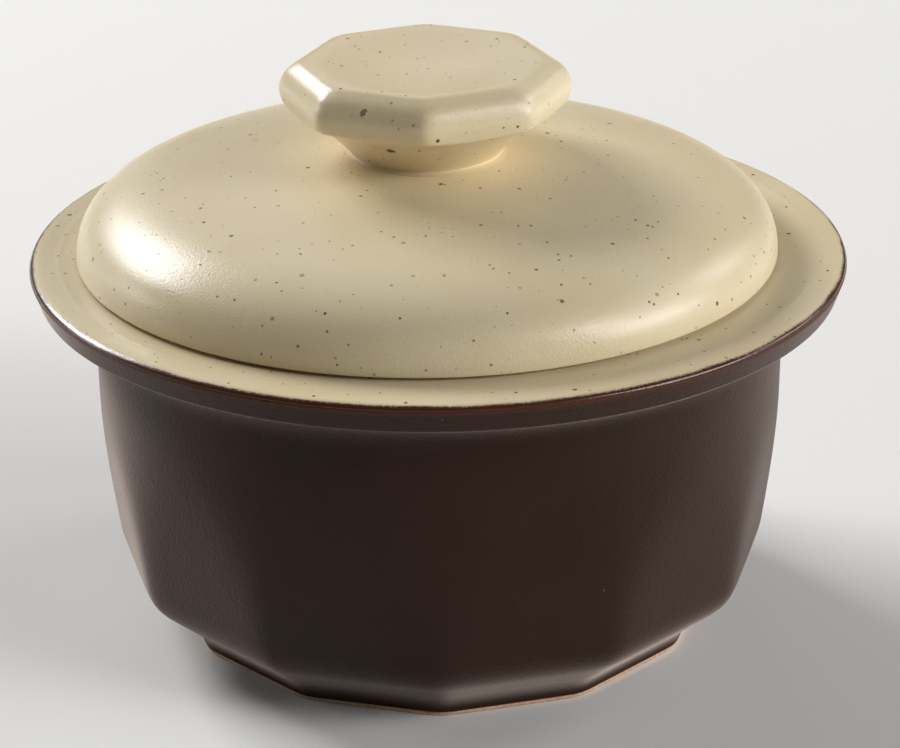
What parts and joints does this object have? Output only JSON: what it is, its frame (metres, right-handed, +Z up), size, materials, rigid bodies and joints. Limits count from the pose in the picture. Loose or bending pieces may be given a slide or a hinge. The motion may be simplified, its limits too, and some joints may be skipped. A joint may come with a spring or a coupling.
{
  "type": "covered butter dish",
  "caption": "Round stoneware dish with a broad rim, a wall turning faceted towards its foot, and a loose domed lid with a dished faceted knob that lifts off and turns.",
  "frame": {"origin": "on the table, under the centre of the pot's foot", "axes": "+Z up through the middle of the pot, -Y towards the front corner of the foot and of the knob, +X to the right seen from the front"},
  "size_m": [0.15, 0.15, 0.1071],
  "materials": {
    "bare_clay": "matt unglazed",
    "brown_glaze": "satin",
    "cream_glaze": "satin with fine dark specks"
  },
  "bodies": {
    "pot": {"foot_ring": "bare_clay", "pot_wall": "brown_glaze", "pot_lining": "cream_glaze"},
    "lid_collar": {"lid_collar": "cream_glaze"},
    "lid": {"lid_dome": "cream_glaze", "lid_knob": "cream_glaze"}
  },
  "joints": [
    {"name": "lid_lift", "type": "slide", "parent": "pot", "child": "lid_collar", "axis": [0, 0, 1], "range_m": [0, 0.09]},
    {"name": "lid_turn", "type": "hinge", "parent": "lid_collar", "child": "lid", "pos_m": [-0.002, 0, 0.0715], "axis": [0, 0, 1], "continuous": true}
  ]
}
